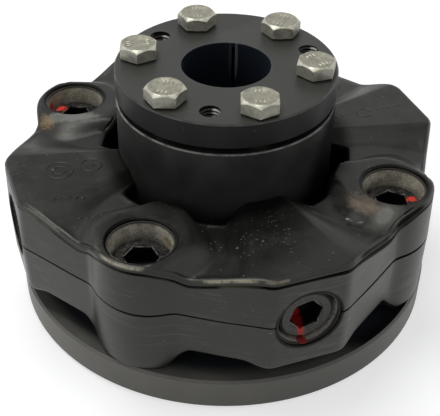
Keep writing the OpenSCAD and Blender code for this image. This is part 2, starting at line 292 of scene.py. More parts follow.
def section(angle):
    """Once round the ring's section at an angle, from the parting seam up over the top and back below."""
    u = from_pad(angle)
    out, bore, down = outer_r(u) - OUTER_INSET, inner_r(u), lower_h(u)
    # The right pad's sides are steeper than those of the other pads
    pad_foot = RIGHT_PAD_FOOT if swell(angle, 0, HALF) else PAD_FOOT
    wall, brim = out - DRAFT, upper_h(u, 1, pad_foot) - EDGE_ROUND
    seam, groove = seam_points(angle, out), groove_points(angle, wall, brim)
    top = corner(wall - EDGE_ROUND, brim, 0, 8)
    crest = [(mix((bore, wall), k / 16), upper_h(u, k / 16, pad_foot)) for k in range(15, 0, -1)]
    back = corner(bore + EDGE_ROUND, upper_h(u, 0, pad_foot) - EDGE_ROUND, 90, 6)
    under = corner(bore + EDGE_ROUND, EDGE_ROUND - down, 180, 5)
    foot = corner(wall - EDGE_ROUND, EDGE_ROUND - down, 270, 6)
    loop = seam[1::-1] + line(seam[0], groove[0], 5) + groove + top + crest + back
    loop += line(back[-1], under[0], 8) + under + line(under[-1], foot[0], 7) + foot
    return loop + line(foot[-1], seam[3], 5) + seam[:1:-1]


def ring_mesh(stations=720):
    """The ring's skin over its sections, before the hub and the pockets are cut out of it."""
    verts, faces = [], []
    for i in range(stations):
        angle = 360 * i / stations
        loop = section(angle)
        verts += [(r * cosd(angle), r * sind(angle), RING_MID + z) for r, z in loop]
    count = len(loop)
    for i in range(stations):
        faces += band(i * count, (i + 1) % stations * count, count)
    return verts, faces


def pocket(reach, floor, shoulder, neck, face, past=6.0):
    """Profile of a pocket for an insert: neck, insert, then the lip with its rounded edge."""
    flare = 0.8
    mouth = LIP_R + flare * 1.1
    lip = [(LIP_R, face - LIP_T), (LIP_R, face - flare)]
    lip += [(LIP_R + flare * (1 - cosd(a)), face - flare + flare * sind(a)) for a in (22, 45, 65, 80)]
    lip += [(mouth, face + 0.05), (mouth, face + past)]
    start = [(0, reach), (neck, reach), (neck, floor)] if neck else [(0, floor)]
    return start + [(INSERT_R, floor), (INSERT_R, shoulder)] + lip + [(0, face + past)]


def rubber_ring(material):
    """The rubber element: the ring's skin, cut by the hub and by a pocket for each insert."""
    obj = add_piece("rubber_element", *ring_mesh(), "ring_rubber", material)
    low, high = 5, 65
    cut(obj, *revolve([(0, low), (HUB_R, low), (HUB_R, high), (0, high)], 240), "hub_cut")
    axial = revolve(pocket(0, FLANGE_T - 0.1, RING_TOP - LIP_T, 0, RING_TOP))
    radial = revolve(pocket(HUB_R - 2, RADIAL_SEAT - WELL_FLOOR, PAD_FACE - LIP_T, NECK_R, PAD_FACE))
    verts, faces = [], []
    for i in range(4):
        for (v, f), turn, shift, lay in (
            (axial, 90 * i + 45, (AXIAL_R, 0, 0), False),
            (radial, 90 * i, (0, 0, RING_MID), True),
        ):
            faces += [tuple(k + len(verts) for k in face) for face in f]
            verts += placed(v, turn, shift, lay)
    cut(obj, verts, faces, "pocket_cut")
    finish_mesh(obj.data, 38)
    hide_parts("rubber_ring")


# Node trees

class Graph:
    """The node tree of a material or world, with short calls for the nodes used here."""

    def __init__(self, owner):
        owner.use_nodes = True
        self.owner = owner
        self.tree = owner.node_tree

    def feed(self, socket, value):
        """Link a socket or set its value; a colour gets its alpha."""
        if isinstance(value, bpy.types.NodeSocket):
            self.tree.links.new(value, socket)
        elif socket.type == "RGBA":
            socket.default_value = (*value, 1)
        else:
            socket.default_value = value

    def node(self, kind, inputs=(), **settings):
        made = self.tree.nodes.new("ShaderNode" + kind)
        for key, value in settings.items():
            setattr(made, key, value)
        for key, value in dict(inputs).items():
            self.feed(made.inputs[key], value)
        return made

    def math(self, operation, a, b=0.0):
        return self.node("Math", {0: a, 1: b}, operation=operation).outputs[0]

    def times(self, value, *others):
        """A product of sockets and numbers."""
        for other in others:
            value = self.math("MULTIPLY", value, other)
        return value

    def most(self, value, *others):
        """The greatest of sockets and numbers."""
        for other in others:
            value = self.math("MAXIMUM", value, other)
        return value

    def seen(self):
        """1 where a surface is seen by the camera, in a reflection or through glass."""
        path = self.node("LightPath").outputs
        return self.most(path["Is Camera Ray"], path["Is Glossy Ray"], path["Is Transmission Ray"])


class Finish(Graph):
    """A new material, from its object's coordinates to its shader."""

    def __init__(self, name):
        super().__init__(bpy.data.materials.new(name))
        self.shader = self.tree.nodes["Principled BSDF"]
        self.place = self.node("TexCoord").outputs["Object"]

    def set(self, **values):
        """Give the shader's inputs, and get the material."""
        for key, value in values.items():
            self.feed(self.shader.inputs[key.replace("_", " ")], value)
        return self.owner

    def bump(self, height, strength, distance):
        made = self.node("Bump", {"Height": height, "Strength": strength, "Distance": distance * MM})
        self.set(Normal=made.outputs[0])

    def noise(self, scale, detail=3.0, rough=0.55, vector=None):
        inputs = {"Vector": vector or self.place, "Scale": scale, "Detail": detail, "Roughness": rough}
        return self.node("TexNoise", inputs).outputs[0]

    def steps(self, value, *stops):
        """A ramp of colours: stops are (position, colour)."""
        made = self.node("ValToRGB", {"Fac": value})
        points = made.color_ramp.elements
        while len(points) < len(stops):
            points.new(1.0)
        for point, (position, colour) in zip(points, stops):
            point.position = position
            point.color = (*colour, 1)
        return made.outputs[0]

    def over(self, below, above, mask):
        """One colour laid over another by a mask."""
        return self.node("Mix", {0: mask, 6: below, 7: above}, data_type="RGBA").outputs[2]

    def range(self, value, low, high, to_low=0.0, to_high=1.0):
        inputs = {0: value, 1: low, 2: high, 3: to_low, 4: to_high}
        return self.node("MapRange", inputs, interpolation_type="SMOOTHSTEP").outputs[0]

    def vector(self, operation, a, b=(0, 0, 0)):
        return self.node("VectorMath", {0: a, 1: b}, operation=operation).outputs[0]

    def split(self, vector):
        return self.node("SeparateXYZ", {0: vector}).outputs

    def length(self, vector):
        return self.node("VectorMath", {0: vector}, operation="LENGTH").outputs["Value"]

    def distance(self, vector, point):
        return self.node("VectorMath", {0: vector, 1: point}, operation="DISTANCE").outputs["Value"]

    def turned(self, vector, angle):
        """A vector turned about z by degrees."""
        inputs = {"Vector": vector, "Angle": math.radians(angle)}
        return self.node("VectorRotate", inputs, rotation_type="Z_AXIS").outputs[0]

    def radius(self):
        """Distance from the shaft's axis."""
        return self.length(self.vector("MULTIPLY", self.place, (1, 1, 0)))

    def upward(self):
        """How far a face looks up, from -1 to 1."""
        return self.split(self.node("NewGeometry").outputs["Normal"])[2]

    def blob(self, centre, size, ragged=0.35, turn=0.0):
        """A soft-edged patch about a point, both in millimetres, with a ragged outline."""
        shift = self.vector("SUBTRACT", self.place, [c * MM for c in centre])
        scaled = self.vector("MULTIPLY", self.turned(shift, -turn), [1 / (s * MM) for s in size])
        rough = self.math("MULTIPLY_ADD", self.noise(600), ragged * 2)
        rough.node.inputs[2].default_value = -ragged
        return self.range(self.math("ADD", self.length(scaled), rough), 1.0, 0.6)

    def ring_edge(self, radius, height, reach):
        """A mask along a circular edge about z, broken up by noise; sizes in millimetres."""
        dr = self.math("SUBTRACT", self.radius(), radius * MM)
        dz = self.math("SUBTRACT", self.split(self.place)[2], height * MM)
        away = self.math("SQRT", self.math("ADD", self.times(dr, dr), self.times(dz, dz)))
        near = self.range(away, reach * MM, 0.35 * reach * MM)
        return self.times(near, self.range(self.noise(220, 4), 0.3, 0.6))

    def deeper(self, along_shaft, face, reach):
        """A mask for what lies deeper than a face, along the shaft or across it; sizes in millimetres."""
        out = self.split(self.place)[2] if along_shaft else self.radius()
        return self.range(out, face * MM, (face - reach) * MM)

    def from_well(self):
        """Distance from the axis of the nearest well along the shaft."""
        plan = self.vector("MULTIPLY", self.vector("ABSOLUTE", self.place), (1, 1, 0))
        across = AXIAL_R * math.sqrt(0.5) * MM
        return self.distance(plan, (across, across, 0))

    def marked(self, colour, marks):
        """Paint or rust laid over a colour, each mark as (centre, size, turn, tone)."""
        for centre, size, turn, tone in marks:
            colour = self.over(colour, tone, self.blob(centre, size, 0.35, turn))
        return colour


# Rubber, with its worn, soiled and dull places and its painted sheen, highlights and shade, in millimetres

RUBBER_BLACK = (0.0025, 0.0025, 0.0024)
# Painted highlights: pale sheen laid on the slopes of the bosses at the left and right: centre, size, turn,
# tone
PAINTED_SHEENS = (
    ((-47.5, 32.0, 54.0), (13, 4.2, 3.5), -19, (0.15, 0.15, 0.137)),
    ((34.0, -56.0, 53.9), (10, 6.5, 5), 25, (0.04, 0.04, 0.036)),
    ((34.0, -56.0, 53.9), (7, 4.4, 4), 25, (0.075, 0.075, 0.068)),
    ((34.0, -56.0, 53.9), (4.6, 2.6, 3), 25, (0.15, 0.15, 0.137)),
    ((25.0, -41.0, 54.0), (5.0, 5.5, 4), 0, (0.03, 0.03, 0.027)),
)
# Pale wear on the bead at the front and left, with a painted highlight along it: centre, size, turn,
# strength, tone
BEAD_WEAR_AND_HIGHLIGHT = (
    ((-52.6, -52.2, 55.0), (10, 3.2, 2.2), -48, 1.0, (0.3, 0.272, 0.205)),
    ((-23.7, -67.9, 53.1), (11.5, 3, 4), -33, 1.0, (0.26, 0.24, 0.18)),
    ((-11.0, -74.8, 55.0), (4.5, 2.5, 2), -17, 0.7, (0.2, 0.18, 0.135)),
    ((-70.0, -23.0, 53.0), (12.5, 3, 4), -62, 0.6, (0.15, 0.145, 0.12)),
)
# Dark stretches of the bead at the right front: centres, then the size and turn of each
DARK_BEAD, DARK_BEAD_SIZE, DARK_BEAD_TURN = ((26.9, -66.6, 52.4), (40.0, -60.3, 52.6)), (16, 3.2, 4.5), 31
# Ochre rust, brown smears and a pale nick: centre, size, turn, strength, tone, scale of the grain
SMEARS = (
    ((-57.4, 34.4, 54.0), (6, 3.4, 3), -72, 0.75, (0.24, 0.135, 0.035), 1500),
    ((29.6, -49.0, 54.8), (7.5, 5.0, 3), -60, 0.6, (0.12, 0.09, 0.062), 130),
    ((31.0, -53.0, 54.3), (5, 4, 3), -60, 0.5, (0.13, 0.1, 0.07), 130),
    ((58, -38, 55), (4, 2.5, 2.5), 40, 0.35, (0.16, 0.08, 0.035), 420),
    ((23.5, -52.3, 51.6), (1.6, 0.5, 2), -55, 1.0, (0.4, 0.38, 0.33), 900),
    ((26.0, -54.8, 51.6), (1.6, 0.4, 2), -20, 0.6, (0.2, 0.19, 0.16), 900),
)
# Places thick with dust: centre, size, strength
DUST_PLACES = (
    ((-12.8, -57, 55), (5.5, 8.5, 3), 1.0),
    ((-22, -51, 53), (4, 6, 3.5), 0.7),
    ((-30.2, -29, 55), (4, 4, 3), 0.7),
    ((-3, -52, 55.3), (6, 14, 3), 0.7),
)
# Coarse and fine specks: scale, how rare they are on clean and on dusty rubber, strength
DUST_SPECKS = ((620.0, 0.995, 0.92, 0.5), (1250.0, 0.988, 0.62, 0.42))
# Handled places with less gloss: centre, size, how much less
DULL_PLACES = (
    ((-60, -2, 55.5), (17, 19, 4), 0.3),
    ((-50, -35, 55.5), (10, 10, 3), 0.5),
    ((-20, -45, 54), (7, 9, 3.5), 0.45),
    ((27.2, -52.2, 52.5), (7, 6, 4), 0.62),
)


def rubber_skin(g, smudge, streak, level, wall):
    """Black tops with a thin film, and walls with a dusty bloom in fine streaks along the ring."""
    colour = g.steps(smudge, (0.32, (0.003, 0.003, 0.0027)), (0.7, (0.01, 0.0099, 0.0088)))
    film = g.times(g.range(g.noise(110, 6, 0.7), 0.5, 0.75), level, 0.5)
    colour = g.over(colour, (0.03, 0.029, 0.025), film)
    scuff = g.range(g.times(streak, g.range(smudge, 0.3, 0.65, 0.7, 1.15)), 0.42, 0.66)
    tones = (0.0, (0.016, 0.0155, 0.013)), (0.6, (0.03, 0.0288, 0.0245)), (1.0, (0.068, 0.065, 0.054))
    return g.over(colour, g.steps(scuff, *tones), wall)


def rubber_lips(g):
    """A mask on the lips round the wells along the shaft and round the screws across it."""
    x, y, z = g.split(g.vector("ABSOLUTE", g.place))
    across = g.node("CombineXYZ", {0: g.math("MINIMUM", x, y), 1: z}).outputs[0]
    from_screw = g.distance(across, (0, RING_MID * MM, 0))
    return g.most(*(g.range(away, 12.0 * MM, 11.3 * MM) for away in (g.from_well(), from_screw)))


def rubber_sheen_and_wear(g, colour, upward, mottle):
    """Painted sheen on the slopes of the bosses, and pale wear with a painted highlight on the bead."""
    # Painted highlights: pale patches for the sheen on the boss slopes
    for centre, size, turn, tone in PAINTED_SHEENS:
        painted_sheen = g.times(g.blob(centre, size, 0.25, turn), g.range(mottle, 0.0, 1.0, 0.75, 1.0))
        colour = g.over(colour, tone, painted_sheen)
    # The bead's pale tone is kept to its rounded crest, where it is partly wear and partly a painted
    # highlight
    bead = g.times(g.range(upward, 0.96, 0.8), g.range(upward, 0.3, 0.65))
    worn = g.times(bead, g.range(g.noise(330, 5, 0.7), 0.3, 0.52, 0.3, 1.0))
    for centre, size, turn, strength, tone in BEAD_WEAR_AND_HIGHLIGHT:
        colour = g.over(colour, tone, g.times(g.blob(centre, size, 0.3, turn), worn, strength))
    return colour


def rubber_dark_bead(g, upward):
    """A mask on the dark and dull stretches of the bead."""
    rim = g.times(g.range(upward, 0.92, 0.65), g.range(upward, 0.02, 0.2))
    places = (g.blob(centre, DARK_BEAD_SIZE, 0.2, DARK_BEAD_TURN) for centre in DARK_BEAD)
    return g.times(rim, g.most(*places))


def rubber_dirt(g, colour):
    """Rust and smears by the bosses, then dust: sparse specks all over, and thick in a few places."""
    for centre, size, turn, strength, tone, scale in SMEARS:
        broken = g.range(g.noise(scale, 5, 0.7), 0.42, 0.58)
        colour = g.over(colour, tone, g.times(g.blob(centre, size, 0.5, turn), broken, strength))
    dense = g.most(*(g.times(g.blob(centre, size, 0.6), strength) for centre, size, strength in DUST_PLACES))
    for scale, rare, many, strength in DUST_SPECKS:
        cells = g.node("TexVoronoi", {"Vector": g.place, "Scale": scale}).outputs
        picked = g.split(cells["Color"])
        chosen = g.math("GREATER_THAN", picked[0], g.range(dense, 0.0, 1.0, rare, many))
        speck = g.times(g.range(cells["Distance"], 0.4, 0.12), chosen)
        speck = g.times(speck, g.range(picked[1], 0.0, 1.0, 0.08, strength))
        colour = g.over(colour, (0.3, 0.29, 0.25), speck)
    return colour


def rubber_gloss(g, level, lip, mottle, dark_bead):
    """Gloss: less on tops, lips and the dark bead, patchy with grime, dull by the hub and where handled."""
    gloss = g.times(g.range(level, 0.0, 1.0, 0.42, 0.25), g.range(lip, 0.0, 1.0, 1.0, 0.3))
    grime = g.times(g.math("SUBTRACT", mottle, 0.5), g.times(level, 0.22))
    by_hub = g.range(g.radius(), 41 * MM, 48 * MM, 0.25, 1.0)
    gloss = g.times(gloss, g.math("ADD", grime, 0.97), by_hub)
    for centre, size, less in DULL_PLACES:
        gloss = g.times(gloss, g.range(g.blob(centre, size, 0.4), 0.0, 1.0, 1.0, 1.0 - less))
    return g.times(gloss, g.range(dark_bead, 0.0, 1.0, 1.0, 0.15))


def rubber():
    """Black rubber of the ring, with its wear and dirt, and painted sheen, highlights and shade."""
    g = Finish("rubber")
    upward, r = g.upward(), g.radius()
    level, wall = g.range(upward, 0.8, 0.98), g.range(upward, 0.4, 0.1)
    smudge = g.noise(45, 5, 0.6)
    mottle = g.range(g.noise(95, 6, 0.75), 0.36, 0.62)
    along_ring = g.node("Mapping", {"Vector": g.place, "Scale": (42, 42, 1250)}).outputs[0]
    streak = g.noise(1.0, 5, 0.65, along_ring)
    lip, dark_bead = rubber_lips(g), rubber_dark_bead(g, upward)
    colour = rubber_skin(g, smudge, streak, level, wall)
    colour = g.over(colour, RUBBER_BLACK, lip)
    colour = rubber_sheen_and_wear(g, colour, upward, mottle)
    colour = g.over(colour, RUBBER_BLACK, dark_bead)
    colour = rubber_dirt(g, colour)
    # Painted shade: the rubber near the hub and on the inner wall is made black, for the shade in the gap
    # between ring and hub
    inner_wall = g.times(g.range(r, 45 * MM, 44 * MM), wall)
    by_hub = g.most(g.range(r, 45 * MM, 41 * MM, 0.0, 0.75), inner_wall)
    colour = g.over(colour, RUBBER_BLACK, by_hub)
    height = g.math("ADD", g.times(streak, 0.5), g.times(g.noise(1700, 2), 0.2))
    g.bump(g.math("ADD", height, g.times(g.noise(160), 0.9)), 0.4, 0.14)
    worn = g.math("ADD", g.times(smudge, 0.6), g.times(streak, 0.4))
    g.set(Base_Color=colour, Roughness=g.range(worn, 0.3, 0.7, 0.28, 0.46))
    gloss = rubber_gloss(g, level, lip, mottle, dark_bead)
    return g.set(Specular_IOR_Level=gloss, Specular_Tint=(1.0, 0.99, 0.92))


# Metal

# Painted highlights: pale lines down the bore beside the slit at the back: centre, size, tone
BORE_HIGHLIGHTS = (
    ((8.35, 12.45, 79), (0.75, 0.75, 9), (0.13, 0.137, 0.15)),
    ((6.5, 13.5, 79), (0.6, 0.6, 9), (0.05, 0.053, 0.058)),
)
RED, DIM_RED, DEEP_RED = (0.58, 0.045, 0.03), (0.4, 0.03, 0.024), (0.4, 0.024, 0.018)
RUST = (0.3, 0.22, 0.07)


def dark_steel(name, tops, sides, rough, gloss=0.35, turning=0.0, edges=(), shade_films=(), bore=0.0, shade_r=0.0):
    """Black-finished steel: cloudy tone, fine grain, turning lines, worn edges with painted highlights, dark
    films of painted shade.

    tops and sides are the darkest and palest tones of level and upright faces. Edges are (radius, height,
    reach, tone) and shade_films are (centre, size, strength, whether on level faces alone), in millimetres.
    """
    g = Finish(name)
    upward, r = g.upward(), g.radius()
    on_top = g.range(upward, 0.8, 0.95)
    cloud = g.noise(70, 5, 0.6)
    colour, upright = (g.steps(cloud, (0.3, low), (0.7, high)) for low, high in (tops, sides))
    colour = g.over(colour, upright, g.range(upward, 0.6, 0.3))
    specks = g.range(g.noise(900, 2), 0.7, 0.76)
    colour = g.over(colour, (0.14, 0.135, 0.12), g.times(specks, 0.5))
    # Pale tone along worn edges, which also paints their highlight
    for radius, height, reach, tone in edges:
        colour = g.over(colour, tone, g.ring_edge(radius, height, reach))
    rings = g.node("TexNoise", {"W": r, "Scale": 2400.0, "Detail": 2.0}, noise_dimensions="1D").outputs[0]
    g.bump(g.math("ADD", g.times(g.noise(2200, 2), 0.4), g.times(rings, turning)), 0.3, 0.06)
    inside = g.range(r, (bore + 0.25) * MM, (bore + 0.1) * MM)
    # Painted shade: the bore, the shade films and the flange inside shade_r are made dark and less glossy
    painted_shade = inside
    for centre, size, strength, level_only in shade_films:
        film = g.times(g.blob(centre, size, 0.1), strength)
        painted_shade = g.most(painted_shade, g.times(film, on_top) if level_only else film)
    colour = g.over(colour, (0.0025, 0.0027, 0.0036), painted_shade)
    # Painted shade in the bore, with painted highlights in pale lines down it
    if bore:
        colour = g.over(colour, (0.016, 0.02, 0.028), inside)
        for centre, size, tone in BORE_HIGHLIGHTS:
            colour = g.over(colour, tone, g.blob(centre, size, 0.1))
    if shade_r:
        # Painted shade: dark on top inside a radius, where the ring shades the flange
        shaded = g.times(g.range(r, shade_r * MM, (shade_r - 6) * MM), on_top)
        colour = g.over(colour, (0.021, 0.023, 0.027), shaded)
        painted_shade = g.most(painted_shade, shaded)
    dull = g.range(upward, 0.6, 0.3, gloss, gloss * 0.8)
    g.set(Specular_IOR_Level=g.times(dull, g.range(painted_shade, 0.0, 1.0, 1.0, 0.16)))
    return g.set(Base_Color=colour, Roughness=g.range(cloud, 0.25, 0.75, rough - 0.06, rough + 0.08))


def zinc(name="zinc", light_lift=1.0):
    """Dull zinc of the bolts: grainy tops, crowns with a painted highlight, sides painted paler for the light
    on them.
    """
    g = Finish(name)
    upward = g.upward()
    cloud = g.noise(420, 6, 0.75)
    low, high = (tuple(c * light_lift for c in tone) for tone in ((0.165, 0.16, 0.118), (0.315, 0.307, 0.238)))
    colour = g.steps(cloud, (0.34, low), (0.66, high))
    stain = g.range(g.noise(900, 4), 0.58, 0.72)
    colour = g.over(colour, (0.1, 0.092, 0.068), g.times(stain, 0.5))
    # Painted light: the sides are paler to stand in for the light falling on them
    side = g.steps(cloud, (0.34, (0.27, 0.265, 0.215)), (0.66, (0.46, 0.452, 0.378)))
    colour = g.over(colour, side, g.range(upward, 0.5, 0.2))
    # Painted highlight on the crowns
    crown = g.times(g.range(upward, 0.96, 0.88), g.range(upward, 0.35, 0.65))
    colour = g.over(colour, (0.5, 0.49, 0.405), g.times(crown, g.range(cloud, 0.3, 0.6, 0.4, 0.95)))
    g.bump(g.math("ADD", cloud, g.times(g.noise(1100), 0.6)), 0.55, 0.2)
    return g.set(Base_Color=colour, Metallic=0.5, Roughness=g.range(cloud, 0.25, 0.75, 0.32, 0.5))


def cast_metal(name, low, high, along_shaft, marks):
    """Rough cast metal of an insert, patchy with soil, with painted shade at its open end under the lip;
    axial ones have a skin of rubber outside.
    """
    g = Finish(name)
    grain, pits = g.noise(420, 6, 0.7), g.noise(2400, 3, 0.7)
    soiled = (0.06, 0.055, 0.043)
    colour = g.steps(grain, (0.3, low), (0.7, high))
    soil = g.range(g.noise(130, 4, 0.6), 0.42, 0.62)
    colour = g.over(colour, soiled, g.times(soil, 0.4))
    end = (RING_TOP if along_shaft else PAD_FACE) - LIP_T
    # Painted shade: dark at the open end, under the rubber lip
    colour = g.over((0.012, 0.0115, 0.01), colour, g.deeper(along_shaft, end - 0.1, 1.1))
    colour = g.marked(colour, marks)
    colour = g.over(colour, soiled, g.range(pits, 0.46, 0.64, 0.0, 0.62))
    if along_shaft:
        skin = g.range(g.from_well(), (INSERT_R - 0.5) * MM, (INSERT_R - 0.3) * MM)
        colour = g.over(colour, (0.008, 0.008, 0.0075), skin)
    g.bump(g.math("ADD", grain, pits), 0.7, 0.3)
    return g.set(Base_Color=colour, Metallic=0.2, Roughness=g.range(grain, 0.3, 0.7, 0.5, 0.7))


def key_edge_glint(g, index, along_shaft, turn):
    """A mask for a painted glint along the six edges of a cap screw's key socket."""
    x, y, z = g.split(g.turned(g.place, -(90 * (index - 1) + (45 if along_shaft else 0))))
    a = g.math("SUBTRACT", x, AXIAL_R * MM) if along_shaft else g.math("SUBTRACT", RING_MID * MM, z)
    flats = []
    for k in (30, 90, 150):
        along, across = g.times(a, cosd(turn + k)), g.times(y, sind(turn + k))
        flats.append(g.math("ABSOLUTE", g.math("ADD", along, across)))
    near = g.range(g.most(*flats), (KEY_HALF + 0.4) * MM, (KEY_HALF + 0.1) * MM)
    return g.times(near, g.range(g.noise(350), 0.42, 0.62))


def screw_steel(name, index, along_shaft, marks):
    """Blackened steel of a cap screw, with painted shade below the face of its head and painted glints at the
    key's edges.
    """
    g = Finish(name)
    if along_shaft:
        face, turn = RING_MID + HEAD_H, AXIAL_TURNS[index - 1]
        # Heads down in the wells take darker tones than the radial ones, as painted shade
        low, high, dirty, gloss = (0.002, 0.002, 0.002), (0.009, 0.0088, 0.008), 0.5, 0.22
    else:
        face, turn = RADIAL_SEAT + HEAD_H, RADIAL_TURNS[index - 1]
        low, high, dirty, gloss = (0.022, 0.022, 0.022), (0.066, 0.064, 0.057), 0.4, 0.36
    cloud = g.noise(300, 5, 0.65)
    colour = g.steps(cloud, (0.3, low), (0.7, high))
    dirt = g.range(g.noise(1300, 4, 0.7), 0.52, 0.64, 0.0, dirty)
    colour = g.over(colour, (0.13, 0.122, 0.1), dirt)
    colour = g.over(colour, (0.16, 0.156, 0.14), key_edge_glint(g, index, along_shaft, turn))
    # Painted shade: black below the face of the head, in the key socket and down the well
    deep = g.deeper(along_shaft, face - 0.5, 0.5)
    colour = g.over(colour, (0.003, 0.003, 0.0032), deep)
    colour = g.marked(colour, marks)
    g.bump(g.noise(1600), 0.3, 0.08)
    g.set(Specular_IOR_Level=g.range(deep, 0.0, 1.0, gloss, 0.15))
    return g.set(Base_Color=colour, Metallic=0.2, Roughness=g.range(cloud, 0.25, 0.75, 0.36, 0.54))


def thread_steel(index):
    """Thread of a jacking hole: dark with painted shade, with a painted highlight on the flanks at the hole's
    right.
    """
    g = Finish(f"thread_steel_{index}")
    cloud = g.noise(500, 4, 0.6)
    lit_flank = g.steps(cloud, (0.3, (0.2, 0.195, 0.17)), (0.7, (0.45, 0.44, 0.4)))
    turn = 120 * (index - 1)
    place = (CLAMP_R * cosd(turn) + 3.0, CLAMP_R * sind(turn) + 0.3, DISC_TOP - 2.5)
    # Painted shade in the hole, and a painted highlight on its right-hand flanks
    colour = g.over((0.006, 0.006, 0.0065), lit_flank, g.blob(place, (3.2, 3.2, 4.5), 0.2))
    return g.set(Base_Color=colour, Metallic=0.6, Roughness=g.range(cloud, 0.25, 0.75, 0.28, 0.45))


def paint(node, material):
    slots = frame["nodes"][node].data.materials
    slots.clear()
    slots.append(material)


def paint_steel():
    """The clamp disc with its cone, the hub and the flange, with painted shade in the holes, on the back of
    the disc, on the hub beside the ring and on the flange under the arches.
    """
    # Pale tone of worn edges, which also paints their highlight
    worn = (0.13, 0.127, 0.115)
    shaded_holes = [((CLAMP_R * cosd(a), CLAMP_R * sind(a), 80.5), (6, 6, 4.6), 1.0, False) for a in (0, 120, 240)]
    paint("clamp_cone", dark_steel(
        "disc_finish",
        tops=((0.018, 0.018, 0.0155), (0.027, 0.027, 0.0228)),
        sides=((0.005, 0.005, 0.0048), (0.0085, 0.0085, 0.0085)),
        rough=0.42, gloss=0.28, turning=0.5, bore=BORE_R,
        edges=((HUB_R, DISC_TOP, 0.5, worn), (BORE_R, DISC_TOP, 0.45, worn)),
        # Painted shade in the jacking holes, and darker towards the back of the disc top
        shade_films=shaded_holes + [((6, 34, DISC_TOP), (26, 15, 3), 0.28, True)],
    ))
    paint("hub", dark_steel(
        "hub_finish",
        tops=((0.011, 0.011, 0.0107), (0.018, 0.018, 0.0172)),
        sides=((0.013, 0.013, 0.0125), (0.021, 0.021, 0.02)),
        rough=0.4, gloss=0.45,
        edges=((HUB_R, HUB_TOP, 0.6, (0.34, 0.33, 0.3)),),
        # Painted shade on the hub's right and low at its front, beside the ring
        shade_films=(((38, -22, 46), (31, 34, 44), 0.95, False), ((4, -38, 36), (22, 14, 14), 0.6, False)),
    ))
    paint("base_flange", dark_steel(
        "flange_finish",
        tops=((0.085, 0.082, 0.072), (0.112, 0.108, 0.096)),
        sides=((0.142, 0.138, 0.123), (0.18, 0.175, 0.156)),
        rough=0.46, turning=0.3, shade_r=FLANGE_R - 2,
        edges=((FLANGE_R, FLANGE_T, 0.7, (0.24, 0.23, 0.2)),),
        # Painted shade on the flange top under the ring's arches at the right front
        shade_films=(((42, -56, FLANGE_T), (34, 32, 4), 1.0, True),),
    ))


def paint_screws():
    """The cap screws and their inserts, with red paint across three heads and rust in a well."""
    head, face = RING_MID + HEAD_H, RADIAL_SEAT + HEAD_H
    marks = {
        "axial_screw_2": (((-49.2, 49.4, head), (3.6, 2.2, 3.0), -10, RED),),
        "axial_insert_2": (((-52.2, 50.2, head + 0.5), (2.4, 2.0, 2.2), 0, RED),),
        "axial_screw_4": (((50.6, -45.4, head), (2.6, 1.6, 2.5), -20, RED),),
        "axial_insert_4": (((53.3, -46.5, head), (1.2, 1.2, 1.6), 0, RED),),
        "axial_insert_3": (((-36.2, -42.0, 50), (3.5, 4.0, 3.0), 0, RUST),),
        "radial_screw_4": (
            ((-1.7, -face, RING_MID - 4.6), (1.5, 2.5, 4.2), 0, DIM_RED),
            ((-1.4, -face, RING_MID - 8.4), (1.8, 2.5, 2.0), 0, DIM_RED),
            ((-1.8, -face + 4.5, RING_MID - 3.9), (3.0, 4.8, 3.0), 0, DEEP_RED),
        ),
        "radial_insert_4": (((-1.2, -face, RING_MID - 10), (1.9, 3.0, 1.6), 0, DIM_RED),),
    }
    beige = ((0.54, 0.51, 0.4), (0.92, 0.87, 0.715))
    grey = ((0.46, 0.44, 0.385), (0.86, 0.82, 0.71))
    for i in range(1, 5):
        for kind, along_shaft, tones in (("axial", True, beige), ("radial", False, grey)):
            screw, insert = f"{kind}_screw_{i}", f"{kind}_insert_{i}"
            paint(screw, screw_steel(f"{screw}_finish", i, along_shaft, marks.get(screw, ())))
            paint(insert, cast_metal(f"{insert}_finish", *tones, along_shaft, marks.get(insert, ())))


# Pieces that the solids leave out or show plainer

BOLT_DISH = 0.22
# Plain round mould marks on the pads: x, y, radius
MOULD_RINGS = ((-59.3, 0.4, 4.6), (-59.3, 0.4, 2.2), (-48.5, 0.0, 3.5), (54.7, -0.6, 2.6))
# Distances from the axis of the plain mould dashes on the right and front pads
DASH_ROW = (43.5, 46.0, 48.5, 60.5, 62.7, 64.9, 67.1, 69.3)


def jack_thread(index):
    """The thread inside a jacking hole: a helical ridge on the hole's wall."""
    steps_per_turn = 40
    total = int((DISC_TOP - DISC_BASE) / JACK_PITCH) * steps_per_turn
    profile = [(0.02, -0.55), (-0.42, -0.08), (-0.42, 0.08), (0.02, 0.55)]
    count = len(profile)
    verts, faces = [], []
    for k in range(total + 1):
        a = 360 * k / steps_per_turn
        z = DISC_TOP - 0.95 - JACK_PITCH * k / steps_per_turn
        verts += [((JACK_R + r) * cosd(a), (JACK_R + r) * sind(a), z + dz) for r, dz in profile]
    for k in range(total):
        faces += band(count * k, count * (k + 1), count)
    faces += [tuple(reversed(range(count))), tuple(range(count * total, count * (total + 1)))]
    place = placed(verts, 120 * (index - 1), (CLAMP_R, 0, 0))
    add_piece(f"jack_thread_{index}", place, faces, "disc_steel", thread_steel(index))


